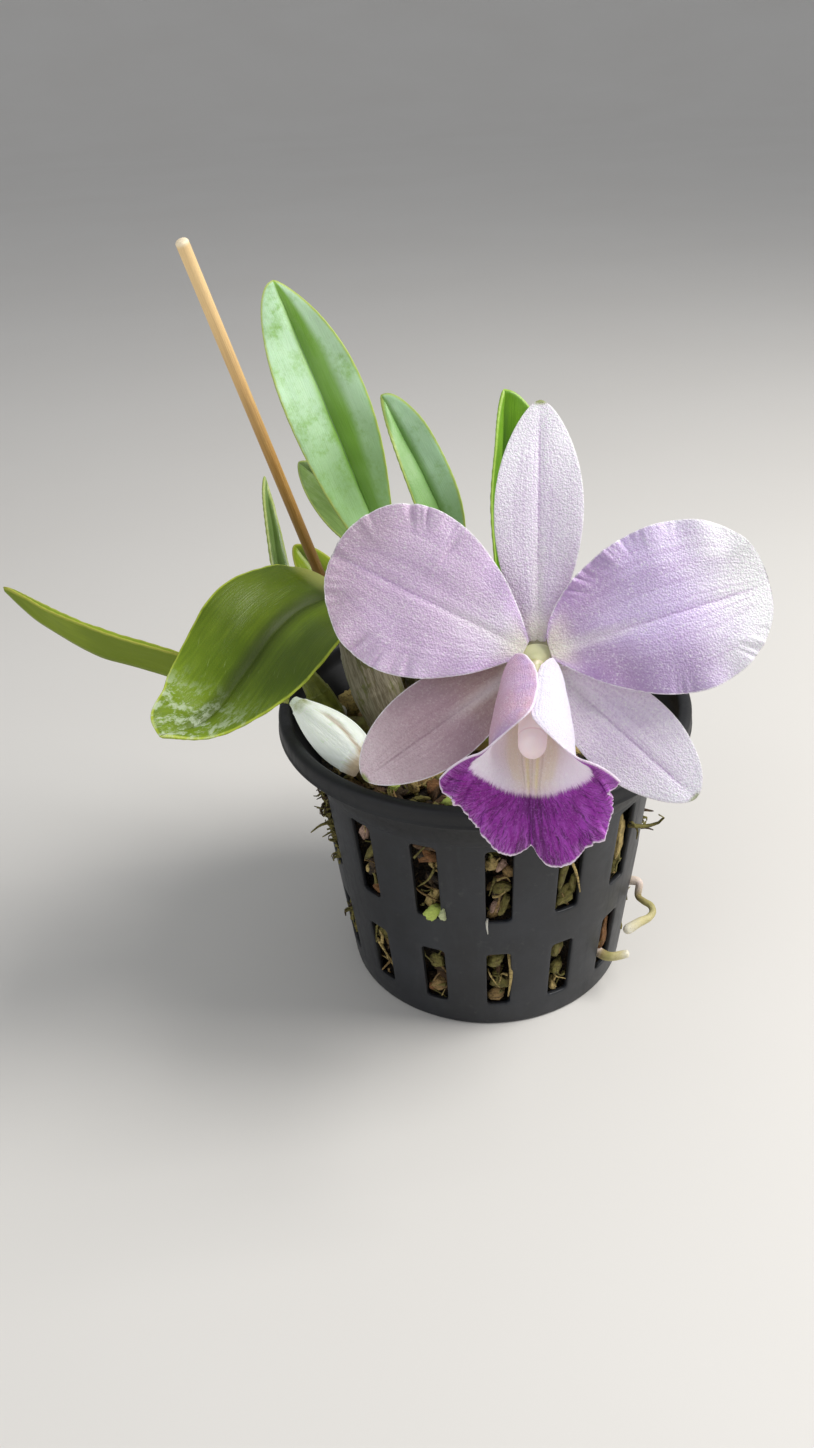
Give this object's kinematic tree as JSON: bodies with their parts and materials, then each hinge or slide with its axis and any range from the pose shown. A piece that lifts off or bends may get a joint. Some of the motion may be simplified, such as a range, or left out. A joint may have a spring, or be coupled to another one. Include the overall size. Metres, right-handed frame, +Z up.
{
  "type": "potted cattleya orchid in bloom",
  "caption": "Cattleya orchid in bloom: pale lilac flower with a purple lip, pseudobulbs and leathery leaves in a slotted net pot of bark and moss, with a bamboo stake.",
  "frame": {"origin": "centre of the net pot's flat underside, on the surface the pot stands on", "axes": "+Z up along the pot's axis; -Y is the side that the flower faces; +X to the right of someone looking at the flower"},
  "size_m": [0.1889, 0.1394, 0.2098],
  "materials": {
    "pot_plastic": "satin",
    "bark_and_moss": "matte",
    "bamboo": "satin",
    "rhizome": "matte",
    "green_bulb": "satin",
    "silver_sheath": "satin",
    "grey_sheath": "matte",
    "leaf_blue_green": "satin",
    "leaf_green": "satin",
    "leaf_young_green": "satin",
    "root": "matte",
    "flower_stalk": "satin",
    "sepal": "satin",
    "petal": "satin",
    "lip": "satin",
    "column": "satin"
  },
  "bodies": {
    "root": {"net_pot": "pot_plastic", "growing_medium": "bark_and_moss", "bamboo_stake": "bamboo", "rhizome": "rhizome", "pseudobulb_lead": "green_bulb", "pseudobulb_front_left": "silver_sheath", "pseudobulb_grey": "grey_sheath", "pseudobulb_green": "green_bulb", "pseudobulb_tall": "grey_sheath", "pseudobulb_middle": "grey_sheath", "pseudobulb_back": "grey_sheath", "pseudobulb_back_left": "green_bulb", "leaf_tall": "leaf_blue_green", "leaf_middle": "leaf_blue_green", "leaf_back": "leaf_blue_green", "leaf_small": "leaf_young_green", "leaf_narrow": "leaf_blue_green", "leaf_young": "leaf_young_green", "leaf_broad": "leaf_green", "leaf_left": "leaf_young_green", "root_loop": "root", "root_short": "root", "flower_stem": "flower_stalk", "dorsal_sepal": "sepal", "left_lateral_sepal": "sepal", "right_lateral_sepal": "sepal", "left_petal": "petal", "right_petal": "petal", "lip": "lip", "column": "column"}
  },
  "joints": []
}
